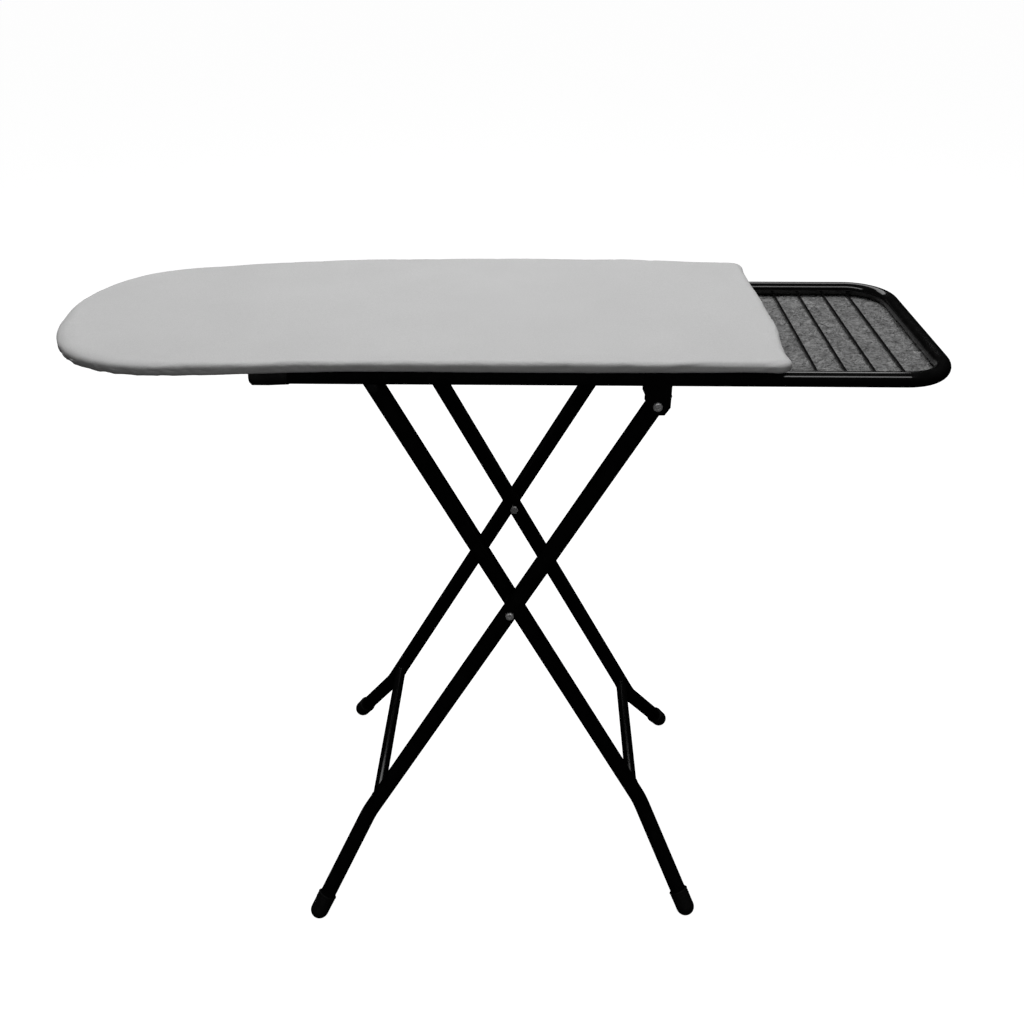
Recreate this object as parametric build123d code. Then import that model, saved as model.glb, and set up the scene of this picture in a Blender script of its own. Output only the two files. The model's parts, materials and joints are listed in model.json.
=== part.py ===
from build123d import *
from math import cos, radians, sin
import os

# Folding ironing board, in millimetres. +X runs along the board from the nose to the iron rest,
# +Z is up, and the origin is on the floor under the middle of the whole board.

# ---- driving dimensions -------------------------------------------------------------------------
HALF_LENGTH = 511.2          # nose of the cover, and outer end of the iron rest
IRONING_HEIGHT = 842.0       # top of the cover above the floor

# padded board
DECK_END = 323.5             # middle of the square end of the cover
DECK_END_BOW = 4.0           # how far that end bulges out
DECK_END_HALF = 169.5        # half width at the square end
DECK_CORNER = 16.0
COVER_THICK = 1.2
PAD_THICK = 4.4
DECK_THICK = 5.0
HEM_WIDTH = 14.0
DECK_EDGE_ROUND = 2.6
BEND_START = -102.5          # from here the thin deck bends down towards the nose
BEND_END = -492.5            # and from here on it lies flat on the adjusting track

# U-shaped rail and the iron rest inside its bend
RAIL_R = 8.7
RAIL_WALL = 1.2
RAIL_Y = 145.9
RAIL_BEND = 50.0
RAIL_LEFT = -254.5
RAIL_CAP_R = 10.4
RAIL_CAP_LENGTH = 38.0
RAIL_CAP_END = 4.0
REST_PANEL_TOP = 804.0
REST_PANEL_THICK = 1.6
REST_PANEL_LEFT = 303.5
REST_ROD_R = 1.55
REST_ROD_FIRST = 362.8
REST_ROD_PITCH = 31.93
REST_ROD_COUNT = 4

# box-section bearers across the rails, and the screws that hold the deck down on them
BEARER_HEIGHT = 11.6
BEARER_WIDTH = 25.0
BEARER_WALL = 1.2
BEARER_X = (-197.5, -32.5, 132.5, 287.5)
SCREW_R = 1.75
SCREW_HEAD_R = 3.9
SCREW_HEAD_THICK = 1.8
SCREW_BITE = 3.5

# legs
LEG_R = 11.0
LEG_WALL = 1.3
LEG_BEND = 40.0
LEG_END_MARGIN = 13.0        # tube left beyond the top pivot
PIVOT_X = 22.8
PIVOT_Z = 495.0
FOOT_Z = 12.6                # height of the tube's end above the floor
SPLAYED_LENGTH = 144.0       # from the bend to the foot, before the sideways splay is added
OUTER_ANGLE = 29.5           # from the vertical
OUTER_UPPER = 329.5          # pivot to hinge
OUTER_Y = 142.9
OUTER_FOOT_Y = 211.6
INNER_ANGLE = 27.4
INNER_UPPER = 330.0          # pivot to top bar
INNER_Y = 113.7
INNER_FOOT_Y = 195.7
CROSSBAR_R = 8.0
CROSSBAR_WALL = 1.2
CROSSBAR_UP = 28.0           # along the leg, above the bend
FOOT_R = 12.8
FOOT_LENGTH = 38.0
PLUG_RIM = 1.5
PLUG_STEM = 5.0

# bolts
BOLT_R = 3.0
BOLT_HEAD_R = 5.2
BOLT_HEAD_THICK = 3.0
BOLT_RECESS = 1.4
NUT_R = 5.6
NUT_THICK = 5.0
RUNNING_FIT = 0.06
SPACER_R = 7.5
SPACER_GAP = 0.3

# hinge brackets on the rails
BRACKET_THICK = 2.0
BRACKET_GAP = 0.7            # between the leg tube and the inner cheek
BRACKET_ROUND = 4.8
BRACKET_LEFT = 170.0
BRACKET_RIGHT = 199.0
BRACKET_BOTTOM = 771.5

# height adjusting track and its latch
TOP_BAR_R = 5.0
TRACK_LEFT = -486.5
TRACK_RIGHT = -104.5
TRACK_HALF = 18.0
TRACK_THICK = 2.0
TRACK_BOTTOM = 776.4
TRACK_CHAMFER = 8.0
TRACK_SCREW_X = -480.0
TRACK_SCREW_Y = (-9, 9)
SLOT_UP = 1.9                # room above the top bar in the slot
SLOT_DOWN = 2.6
SLOT_LEFT = -478.5
SLOT_RIGHT = -121.5
LATCH_PIN_X = -470.5
LATCH_PIN_Z = 806.0
LATCH_PIN_R = 2.5
LATCH_PIN_HEAD_R = 4.2
LATCH_PIN_HEAD_THICK = 1.6
LATCH_THICK = 3.0
LATCH_RIGHT = 69.5
LATCH_TOP = 808.0
LATCH_TIP = 795.6
NOTCH_DEPTH = 6.0
NOTCH_SPARE = 0.8
NOTCH_PITCH = 34.0
NOTCH_COUNT = 5
RELEASE_ROD_X = 51.5
RELEASE_ROD_Z = 801.5
RELEASE_ROD_R = 4.0
RELEASE_ROD_HALF = 122.0
GRIP_R = 7.5
GRIP_LENGTH = 62.0
SPRING_WIRE = 0.7
SPRING_COIL = 4.6
SPRING_TURNS = 4

# ---- heights and places that follow -------------------------------------------------------------
COVER_UNDERSIDE = IRONING_HEIGHT - COVER_THICK
DECK_TOP = COVER_UNDERSIDE - PAD_THICK
DECK_BOTTOM = DECK_TOP - DECK_THICK
RAIL_TOP = DECK_BOTTOM - BEARER_HEIGHT
RAIL_Z = RAIL_TOP - RAIL_R
RAIL_END_X = HALF_LENGTH - RAIL_R
LEG_IN_R = LEG_R - LEG_WALL


def along(angle, side, distance):
    """Point on a leg's line, `distance` up from the crossing pivot; side is +1 towards the iron rest."""
    return (PIVOT_X + side * distance * sin(radians(angle)), PIVOT_Z + distance * cos(radians(angle)))


HINGE_X, HINGE_Z = along(OUTER_ANGLE, 1, OUTER_UPPER)
TOP_BAR_X, TOP_BAR_Z = along(INNER_ANGLE, -1, INNER_UPPER)


# ---- small helpers ------------------------------------------------------------------------------
def save(node, *solids):
    shape = solids[0] if len(solids) == 1 else Compound(children=list(solids))
    export_step(shape, os.path.join("parts", node + ".step"))


def rod_y(x, z, y_low, y_high, radius):
    """Round bar along Y."""
    return Pos(x, (y_low + y_high) / 2, z) * Rot(90, 0, 0) * Cylinder(radius, y_high - y_low)


def rod_z(x, y, z_low, z_high, radius):
    return Pos(x, y, (z_low + z_high) / 2) * Cylinder(radius, z_high - z_low)


def block(x_low, x_high, y_low, y_high, z_low, z_high):
    middle = Pos((x_low + x_high) / 2, (y_low + y_high) / 2, (z_low + z_high) / 2)
    return middle * Box(x_high - x_low, y_high - y_low, z_high - z_low)


def plate_xz(corners, y_low, y_high):
    """Flat plate standing in the XZ plane, from y_low to y_high."""
    face = make_face(Plane.XZ * Polyline(*corners, close=True))
    return Pos(0, y_high, 0) * extrude(face, amount=y_high - y_low, dir=(0, -1, 0))


def pipe(path, radius):
    start = Plane(origin=path @ 0, z_dir=path % 0)
    return sweep(start * Circle(radius), path=path)


def hex_nut(x, z, y_low, y_high):
    prism = extrude(RegularPolygon(NUT_R, 6), amount=y_high - y_low)
    return Pos(x, y_high, z) * Rot(90, 0, 0) * prism - rod_y(x, z, y_low - 1, y_high + 1, BOLT_R)


def at_side(shape, side):
    """Parts are drawn on the near side, -Y; the far ones are their mirror image."""
    return shape if side == "near" else mirror(shape, about=Plane.XZ)


# ---- padded board -------------------------------------------------------------------------------
def board_outline(inset):
    """Blunt rounded nose, long easy sides, and a slightly bowed end with round corners."""
    half = [(137.5, 174.8), (-52.5, 175.3), (-232.5, 173.2), (-342.5, 168.5), (-422.5, 151.5)]
    half += [(-464.5, 125.5), (-493, 84)]
    near = [(DECK_END - DECK_END_BOW, -DECK_END_HALF)] + [(x, -y) for x, y in half]
    far = [(x, -y) for x, y in reversed(near)]
    points = [Vector(x, y) for x, y in near + [(-HALF_LENGTH, 0)] + far]
    edge = Spline(*points)
    if inset > 0:
        leans = [edge.tangent_at(edge.param_at_point(point)) for point in points]
        shifted = [point + Vector(lean.Y, -lean.X) * inset for point, lean in zip(points, leans)]
        for end in (0, -1):
            shifted[end] = shifted[end] - Vector(inset, 0)
        edge = Spline(*shifted)
    end = ThreePointArc(edge @ 1, (DECK_END - inset, 0), edge @ 0)
    face = make_face([edge, end])
    corners = face.vertices().sort_by(Axis.X)[-2:]
    return fillet(corners, radius=DECK_CORNER - inset)


def bent_line(z):
    """Level at height z over the rails, then bent down by the height of the bearers at the nose."""
    down = z - BEARER_HEIGHT
    bend = Spline((BEND_START, z), (BEND_END, down), tangents=((-1, 0), (-1, 0)))
    return [Line((HALF_LENGTH, z), (BEND_START, z)), bend, Line((BEND_END, down), (-HALF_LENGTH - 5, down))]


def bent_sheet(z_low, z_high):
    """Everything between two heights that follow the bend of the deck."""
    high, low = bent_line(z_high), bent_line(z_low)
    ends = [Line(high[0] @ 0, low[0] @ 0), Line(high[2] @ 1, low[2] @ 1)]
    face = make_face(Plane.XZ * Curve(children=[*high, *low, *ends]))
    return Pos(0, 300, 0) * extrude(face, amount=600, dir=(0, -1, 0))


def board_slab(inset, z_low, z_high, edge_round):
    prism = Pos(0, 0, z_low - 50) * extrude(board_outline(inset), amount=z_high - z_low + 100)
    slab = prism & bent_sheet(z_low, z_high)
    if edge_round > 0:
        top = [face for face in slab.faces() if face.normal_at().Z > 0.9]
        rim = [edge for face in top for edge in face.edges()]
        seams = [edge for edge in rim if sum(edge.is_same(other) for other in rim) > 1]
        slab = fillet([edge for edge in rim if edge not in seams], radius=edge_round)
    return slab


def deck_screw(x, y):
    head = rod_z(x, y, RAIL_TOP - SCREW_HEAD_THICK, RAIL_TOP, SCREW_HEAD_R)
    recess = Pos(x, y, RAIL_TOP - SCREW_HEAD_THICK) * (Box(4, 0.9, 2) + Box(0.9, 4, 2))
    return head + deck_shank(x, y) - recess


def deck_shank(x, y):
    """Shank up through a bearer; the first bearer stands where the deck has begun to bend."""
    bite = SCREW_BITE - 1.5 if x < BEND_START else SCREW_BITE
    return rod_z(x, y, RAIL_TOP, DECK_BOTTOM + bite, SCREW_R)


def build_board():
    places = [(x, y) for x in BEARER_X for y in (-110, -38, 38, 110)]
    shanks = [deck_shank(x, y) for x, y in places]
    deck = board_slab(2 * COVER_THICK, DECK_BOTTOM, DECK_TOP, 0)
    for shank in shanks + [nose_shank(y) for y in TRACK_SCREW_Y]:
        deck -= shank
    save("deck_panel", deck)
    save("bearer_screws", *[deck_screw(x, y) for x, y in places])
    save("foam_pad", board_slab(COVER_THICK, DECK_TOP, COVER_UNDERSIDE, DECK_EDGE_ROUND))

    skin = board_slab(0, DECK_BOTTOM - COVER_THICK, IRONING_HEIGHT, DECK_EDGE_ROUND + COVER_THICK)
    skin -= board_slab(COVER_THICK, DECK_BOTTOM, COVER_UNDERSIDE, DECK_EDGE_ROUND)
    opening = board_slab(HEM_WIDTH, DECK_BOTTOM - 2 * COVER_THICK, DECK_TOP, 0)
    save("cover", skin - opening)

    above = bent_sheet(DECK_BOTTOM, DECK_TOP + 20)
    half = RAIL_Y + 4
    for number, x in enumerate(BEARER_X, 1):
        low, high = x - BEARER_WIDTH / 2, x + BEARER_WIDTH / 2
        bearer = block(low, high, -half, half, RAIL_TOP, DECK_BOTTOM)
        bearer -= block(low + BEARER_WALL, high - BEARER_WALL, -half - 1, half + 1,
                        RAIL_TOP + BEARER_WALL, DECK_BOTTOM - 3 * BEARER_WALL)
        bearer -= above
        for shank in shanks:
            bearer -= shank
        save(f"deck_bearer_{number}", bearer)


# ---- rail and iron rest -------------------------------------------------------------------------
def rail_path():
    corners = [(RAIL_LEFT, -RAIL_Y, RAIL_Z), (RAIL_END_X, -RAIL_Y, RAIL_Z)]
    corners += [(RAIL_END_X, RAIL_Y, RAIL_Z), (RAIL_LEFT, RAIL_Y, RAIL_Z)]
    return FilletPolyline(*corners, radius=RAIL_BEND)


def rail_cap():
    """Moulded cap over the rail's cut end: a sleeve that tapers down onto the tube."""
    end = RAIL_LEFT - RAIL_CAP_END
    taper = RAIL_LEFT + RAIL_CAP_LENGTH
    profile = [(end, 0), (end, RAIL_CAP_R - 2.5), (end + 2.5, RAIL_CAP_R), (RAIL_LEFT + 16, RAIL_CAP_R)]
    profile += [(taper, RAIL_R + 0.7), (taper, RAIL_R), (RAIL_LEFT, RAIL_R), (RAIL_LEFT, 0)]
    half = make_face(Plane.XZ * Polyline(*profile, close=True))
    return Pos(0, -RAIL_Y, RAIL_Z) * revolve(half, axis=Axis.X)


def build_rail():
    path = rail_path()
    solid_rail = pipe(path, RAIL_R)
    save("frame_tube", solid_rail - pipe(path, RAIL_R - RAIL_WALL))
    for side in ("near", "far"):
        save(f"rail_cap_{side}", at_side(rail_cap(), side))

    panel = Pos(0, 0, REST_PANEL_TOP - REST_PANEL_THICK) * extrude(
        make_face(Polyline((REST_PANEL_LEFT, -RAIL_Y), (RAIL_END_X, -RAIL_Y), (RAIL_END_X, RAIL_Y),
                           (REST_PANEL_LEFT, RAIL_Y), close=True)), amount=REST_PANEL_THICK)
    corners = panel.edges().filter_by(Axis.Z).group_by(Axis.X)[-1]
    panel = fillet(corners, radius=RAIL_BEND) - solid_rail
    save("rest_panel", panel.solids().sort_by(SortBy.VOLUME)[-1])

    for number in range(REST_ROD_COUNT):
        x = REST_ROD_FIRST + number * REST_ROD_PITCH
        rod = rod_y(x, REST_PANEL_TOP + REST_ROD_R, -RAIL_Y, RAIL_Y, REST_ROD_R) - solid_rail
        save(f"rest_rod_{number + 1}", rod.solids().sort_by(SortBy.VOLUME)[-1])


# ---- hinge brackets -----------------------------------------------------------------------------
def hinge_bracket():
    """Inverted channel welded over the rail; its two cheeks carry the outer leg's hinge bolt."""
    outer_y = -RAIL_Y - RAIL_R
    inner_y = -OUTER_Y + LEG_R + BRACKET_GAP
    cavity = block(BRACKET_LEFT, BRACKET_RIGHT, outer_y, inner_y, BRACKET_BOTTOM, RAIL_TOP)
    skin = block(BRACKET_LEFT, BRACKET_RIGHT, outer_y - BRACKET_THICK, inner_y + BRACKET_THICK,
                 BRACKET_BOTTOM, RAIL_TOP + BRACKET_THICK)
    skin = fillet(skin.edges().filter_by(Axis.X).group_by(Axis.Z)[-1], radius=BRACKET_ROUND)
    inside = fillet(cavity.edges().filter_by(Axis.X).group_by(Axis.Z)[-1],
                    radius=BRACKET_ROUND - BRACKET_THICK)
    cheek = [(BRACKET_LEFT, RAIL_TOP + 5), (BRACKET_RIGHT, RAIL_TOP + 5), (BRACKET_RIGHT, HINGE_Z - 1)]
    cheek += [(BRACKET_RIGHT - 6, BRACKET_BOTTOM), (BRACKET_LEFT + 9, BRACKET_BOTTOM)]
    cheek += [(BRACKET_LEFT, HINGE_Z + 9)]
    bracket = (skin - inside) & plate_xz(cheek, outer_y - 5, inner_y + 5)
    return bracket - rod_y(HINGE_X, HINGE_Z, outer_y - 9, inner_y + 9, BOLT_R)


def bolt(x, z, y_head, y_tip):
    """Cross-recessed bolt along Y, its head on the outside."""
    head = rod_y(x, z, y_head - BOLT_HEAD_THICK, y_head, BOLT_HEAD_R)
    head = fillet(head.edges().group_by(Axis.Y)[0], radius=BOLT_HEAD_THICK * 0.6)
    cross = Pos(x, y_head - BOLT_HEAD_THICK, z) * (Box(5.4, 2 * BOLT_RECESS, 1.1)
                                                   + Box(1.1, 2 * BOLT_RECESS, 5.4))
    return head - cross + rod_y(x, z, y_head, y_tip, BOLT_R)


def build_hinges():
    face_out = -RAIL_Y - RAIL_R - BRACKET_THICK
    face_in = -OUTER_Y + LEG_R + BRACKET_GAP + BRACKET_THICK
    for side in ("near", "far"):
        save(f"hinge_bracket_{side}", at_side(hinge_bracket(), side))
        save(f"hinge_bolt_{side}", at_side(bolt(HINGE_X, HINGE_Z, face_out, face_in + NUT_THICK), side))
        save(f"hinge_nut_{side}", at_side(hex_nut(HINGE_X, HINGE_Z, face_in, face_in + NUT_THICK), side))


# ---- height adjusting track and latch -----------------------------------------------------------
def nose_shank(y):
    return rod_z(TRACK_SCREW_X, y, RAIL_TOP - TRACK_THICK, RAIL_TOP + SCREW_BITE, SCREW_R)


def track_shanks():
    """Two screws into the deck's nose, and two into the first bearer."""
    short = [rod_z(BEARER_X[0], y, RAIL_TOP - TRACK_THICK, RAIL_TOP, SCREW_R) for y in TRACK_SCREW_Y]
    return [nose_shank(y) for y in TRACK_SCREW_Y] + short


def adjusting_track():
    """Inverted channel under the deck; the legs' top bar slides in the slots of its two sides."""
    outside = block(TRACK_LEFT, TRACK_RIGHT, -TRACK_HALF, TRACK_HALF, TRACK_BOTTOM, RAIL_TOP)
    outside = chamfer(outside.edges().filter_by(Axis.Y).group_by(Axis.Z)[0], TRACK_CHAMFER)
    inside = block(TRACK_LEFT - 1, TRACK_RIGHT + 1, -TRACK_HALF + TRACK_THICK, TRACK_HALF - TRACK_THICK,
                   TRACK_BOTTOM - 1, RAIL_TOP - TRACK_THICK)
    low = TOP_BAR_Z - TOP_BAR_R - SLOT_DOWN
    high = TOP_BAR_Z + TOP_BAR_R + SLOT_UP
    slot = block(SLOT_LEFT, SLOT_RIGHT, -TRACK_HALF - 1, TRACK_HALF + 1, low, high)
    slot = fillet(slot.edges().filter_by(Axis.Y), radius=4)
    pin_hole = rod_y(LATCH_PIN_X, LATCH_PIN_Z, -TRACK_HALF - 1, TRACK_HALF + 1, LATCH_PIN_R)
    track = outside - inside - slot - pin_hole
    for shank in track_shanks():
        track -= shank
    return track


def track_screw(shank):
    middle = shank.center()
    head_z = RAIL_TOP - TRACK_THICK
    return shank + rod_z(middle.X, middle.Y, head_z - SCREW_HEAD_THICK, head_z, SCREW_HEAD_R)


def latch_pin():
    pin = rod_y(LATCH_PIN_X, LATCH_PIN_Z, -TRACK_HALF, TRACK_HALF, LATCH_PIN_R)
    for side in (-1, 1):
        head = LATCH_PIN_HEAD_THICK
        middle = side * (TRACK_HALF + head / 2)
        pin += rod_y(LATCH_PIN_X, LATCH_PIN_Z, middle - head / 2, middle + head / 2, LATCH_PIN_HEAD_R)
    return pin


def latch_spring():
    pitch = 2 * SPRING_WIRE + 0.5
    coil = Helix(pitch=pitch, height=pitch * SPRING_TURNS, radius=SPRING_COIL)
    wire = sweep(Plane(origin=coil @ 0, z_dir=coil % 0) * Circle(SPRING_WIRE), path=coil, is_frenet=True)
    return Pos(LATCH_PIN_X, TRACK_HALF - TRACK_THICK - 1.5, LATCH_PIN_Z) * Rot(90, 0, 0) * wire


def latch_strip():
    """Toothed strip; its teeth drop over the top bar when the release rod is let go."""
    notch_half = TOP_BAR_R + NOTCH_SPARE
    last_notch = TOP_BAR_X - (NOTCH_COUNT - 1) * NOTCH_PITCH
    teeth_left = last_notch - notch_half - 12
    teeth_right = TOP_BAR_X + notch_half + 9
    root = LATCH_TIP + NOTCH_DEPTH
    outline = [(LATCH_PIN_X - 8, LATCH_PIN_Z - 5), (LATCH_PIN_X - 8, LATCH_PIN_Z + 5)]
    outline += [(LATCH_PIN_X - 4, LATCH_PIN_Z + 8), (LATCH_PIN_X + 12, LATCH_PIN_Z + 8)]
    outline += [(LATCH_PIN_X + 40, LATCH_TOP), (LATCH_RIGHT - 4, LATCH_TOP), (LATCH_RIGHT, LATCH_TOP - 4)]
    outline += [(LATCH_RIGHT, LATCH_TIP + 2), (teeth_right + 14, LATCH_TIP + 2), (teeth_right, LATCH_TIP)]
    outline += [(teeth_left, LATCH_TIP), (teeth_left - 14, root - 1), (LATCH_PIN_X + 6, root - 1)]
    strip = plate_xz(outline, -LATCH_THICK / 2, LATCH_THICK / 2)
    for number in range(NOTCH_COUNT):
        x = TOP_BAR_X - number * NOTCH_PITCH
        strip -= block(x - notch_half, x + notch_half, -LATCH_THICK, LATCH_THICK, LATCH_TIP - 1, root)
    strip -= rod_y(LATCH_PIN_X, LATCH_PIN_Z, -LATCH_THICK, LATCH_THICK, LATCH_PIN_R + RUNNING_FIT)
    return strip - rod_y(RELEASE_ROD_X, RELEASE_ROD_Z, -LATCH_THICK, LATCH_THICK, RELEASE_ROD_R)


def release_grip():
    start = -RELEASE_ROD_HALF
    sleeve = rod_y(RELEASE_ROD_X, RELEASE_ROD_Z, start - 2, start + GRIP_LENGTH, GRIP_R)
    sleeve = fillet(sleeve.edges(), radius=2)
    return sleeve - rod_y(RELEASE_ROD_X, RELEASE_ROD_Z, start, start + GRIP_LENGTH + 1, RELEASE_ROD_R)


def build_latch():
    save("adjusting_track", adjusting_track())
    save("track_screws", *[track_screw(shank) for shank in track_shanks()])
    save("latch_pin", latch_pin())
    save("latch_spring", latch_spring())
    save("latch_strip", latch_strip())
    rod = rod_y(RELEASE_ROD_X, RELEASE_ROD_Z, -RELEASE_ROD_HALF, RELEASE_ROD_HALF, RELEASE_ROD_R)
    save("release_rod", rod)
    for side in ("near", "far"):
        save(f"release_grip_{side}", at_side(release_grip(), side))


# ---- legs ---------------------------------------------------------------------------------------
class Leg:
    """One near-side leg: straight from its top to a bend, then splayed sideways to the foot."""

    def __init__(self, angle, side, upper, y, foot_y):
        self.y = -y
        self.angle = angle
        self.side = side
        lower = (PIVOT_Z - FOOT_Z) / cos(radians(angle))
        top_x, top_z = along(angle, side, upper + LEG_END_MARGIN)
        bend_x, bend_z = along(angle, side, SPLAYED_LENGTH - lower)
        foot_x, foot_z = along(angle, side, -lower)
        self.bar_x, self.bar_z = along(angle, side, SPLAYED_LENGTH + CROSSBAR_UP - lower)
        self.top = Vector(top_x, -y, top_z)
        self.bend = Vector(bend_x, -y, bend_z)
        self.foot = Vector(foot_x, -foot_y, foot_z)
        self.down = (self.foot - self.bend).normalized()
        self.up = (self.top - self.bend).normalized()

    def path(self):
        return FilletPolyline(self.top, self.bend, self.foot, radius=LEG_BEND)

    def outside(self):
        return pipe(self.path(), LEG_R)

    def tube(self):
        return self.outside() - pipe(self.path(), LEG_IN_R)

    def foot_cap(self):
        """Rubber cap with a round end, worn flat where it stands on the floor."""
        start = self.foot - self.down * (FOOT_LENGTH - FOOT_R)
        sleeve = extrude(Plane(origin=start, z_dir=self.down) * Circle(FOOT_R), amount=FOOT_LENGTH - FOOT_R)
        cap = sleeve + Pos(self.foot) * Sphere(FOOT_R)
        socket = extrude(Plane(origin=start - self.down * 3, z_dir=self.down) * Circle(LEG_R),
                         amount=FOOT_LENGTH - FOOT_R + 3)
        return cap - socket - block(-999, 999, -999, 999, -99, 0)

    def plug(self):
        """Plastic plug in the open top end of the tube."""
        rim = extrude(Plane(origin=self.top, z_dir=self.up) * Circle(LEG_R), amount=PLUG_RIM)
        rim = fillet(rim.edges(), radius=PLUG_RIM * 0.45)
        stem = extrude(Plane(origin=self.top, z_dir=-self.up) * Circle(LEG_IN_R), amount=PLUG_STEM)
        return rim + stem


def crossbar(leg, leg_outside):
    solid_bar = rod_y(leg.bar_x, leg.bar_z, leg.y, -leg.y, CROSSBAR_R)
    bore = rod_y(leg.bar_x, leg.bar_z, leg.y, -leg.y, CROSSBAR_R - CROSSBAR_WALL)
    bar = solid_bar - bore - leg_outside - mirror(leg_outside, about=Plane.XZ)
    return bar.solids().sort_by(SortBy.VOLUME)[-1]


def save_leg_pair(name, leg, holes):
    tube = leg.tube()
    for hole in holes:
        tube -= hole
    for side in ("near", "far"):
        save(f"{name}_leg_{side}", at_side(tube, side))
        save(f"{name}_foot_{side}", at_side(leg.foot_cap(), side))
        save(f"{name}_plug_{side}", at_side(leg.plug(), side))
    save(f"{name}_crossbar", crossbar(leg, leg.outside()))


def build_legs():
    outer = Leg(OUTER_ANGLE, 1, OUTER_UPPER, OUTER_Y, OUTER_FOOT_Y)
    inner = Leg(INNER_ANGLE, -1, INNER_UPPER, INNER_Y, INNER_FOOT_Y)
    reach = 2 * LEG_R
    hinge_hole = rod_y(HINGE_X, HINGE_Z, -OUTER_Y - reach, -OUTER_Y + reach, BOLT_R + RUNNING_FIT)
    bolt_hole = rod_y(PIVOT_X, PIVOT_Z, -OUTER_Y - reach, -OUTER_Y + reach, BOLT_R)
    pivot_hole = rod_y(PIVOT_X, PIVOT_Z, -INNER_Y - reach, -INNER_Y + reach, BOLT_R + RUNNING_FIT)
    bar_hole = rod_y(TOP_BAR_X, TOP_BAR_Z, -INNER_Y - reach, -INNER_Y + reach, TOP_BAR_R)
    save_leg_pair("outer", outer, (hinge_hole, bolt_hole))
    save_leg_pair("inner", inner, (pivot_hole, bar_hole))
    bar_half = INNER_Y + LEG_R + 1.5
    save("top_bar", rod_y(TOP_BAR_X, TOP_BAR_Z, -bar_half, bar_half, TOP_BAR_R))

    face_out = -OUTER_Y - LEG_R
    face_in = -INNER_Y + LEG_R + SPACER_GAP
    between = (-OUTER_Y + LEG_R, -INNER_Y - LEG_R - SPACER_GAP)
    spacer = rod_y(PIVOT_X, PIVOT_Z, *between, SPACER_R)
    spacer -= rod_y(PIVOT_X, PIVOT_Z, between[0] - 1, between[1] + 1, BOLT_R)
    for side in ("near", "far"):
        save(f"pivot_bolt_{side}", at_side(bolt(PIVOT_X, PIVOT_Z, face_out, face_in + NUT_THICK), side))
        save(f"pivot_nut_{side}", at_side(hex_nut(PIVOT_X, PIVOT_Z, face_in, face_in + NUT_THICK), side))
        save(f"pivot_spacer_{side}", at_side(spacer, side))


def main():
    os.makedirs("parts", exist_ok=True)
    build_board()
    build_rail()
    build_hinges()
    build_latch()
    build_legs()


main()
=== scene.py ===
"""Folding ironing board: cloth, pad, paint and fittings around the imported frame. Metres, +Z up."""

import json
import math

import bpy
import numpy as np
from mathutils import Matrix, Vector, noise


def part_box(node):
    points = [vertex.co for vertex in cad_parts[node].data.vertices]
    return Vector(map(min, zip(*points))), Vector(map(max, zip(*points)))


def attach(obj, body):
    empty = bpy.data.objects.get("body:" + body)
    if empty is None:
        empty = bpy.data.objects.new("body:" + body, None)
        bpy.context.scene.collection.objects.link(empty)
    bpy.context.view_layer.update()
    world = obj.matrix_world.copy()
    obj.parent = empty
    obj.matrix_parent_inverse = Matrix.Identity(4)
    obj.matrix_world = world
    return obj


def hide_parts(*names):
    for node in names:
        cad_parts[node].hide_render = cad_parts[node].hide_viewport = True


MM = 0.001
TAU = 2 * math.pi
MERGE_DISTANCE = 1e-5

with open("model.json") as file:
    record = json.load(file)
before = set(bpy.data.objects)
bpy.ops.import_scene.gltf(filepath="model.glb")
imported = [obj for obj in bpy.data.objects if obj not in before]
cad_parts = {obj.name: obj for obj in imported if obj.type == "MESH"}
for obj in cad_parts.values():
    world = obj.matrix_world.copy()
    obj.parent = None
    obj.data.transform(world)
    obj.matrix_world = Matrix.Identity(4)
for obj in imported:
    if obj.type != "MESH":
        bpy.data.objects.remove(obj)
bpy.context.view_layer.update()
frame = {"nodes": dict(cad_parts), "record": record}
nodes = frame["nodes"]


# ---- meshes -------------------------------------------------------------------------------------
def make_object(name, vertices, faces, smooth=True):
    mesh = bpy.data.meshes.new(name)
    mesh.from_pydata([tuple(v) for v in vertices], [], faces)
    mesh.validate()
    mesh.update()
    for polygon in mesh.polygons:
        polygon.use_smooth = smooth
    obj = bpy.data.objects.new(name, mesh)
    bpy.context.scene.collection.objects.link(obj)
    return obj


def ring_faces(rows, columns, closed=True):
    """Quads between rows of points; each row is a closed or an open line."""
    faces = []
    last = columns if closed else columns - 1
    for r in range(rows - 1):
        for c in range(last):
            a = r * columns + c
            b = r * columns + (c + 1) % columns
            faces.append((a, b, b + columns, a + columns))
    return faces


def apply_modifier(obj, modifier):
    bpy.context.view_layer.objects.active = obj
    bpy.ops.object.select_all(action="DESELECT")
    obj.select_set(True)
    bpy.ops.object.modifier_apply(modifier=modifier.name)


def merge_doubles(obj):
    modifier = obj.modifiers.new("weld", "WELD")
    modifier.merge_threshold = MERGE_DISTANCE
    apply_modifier(obj, modifier)


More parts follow.
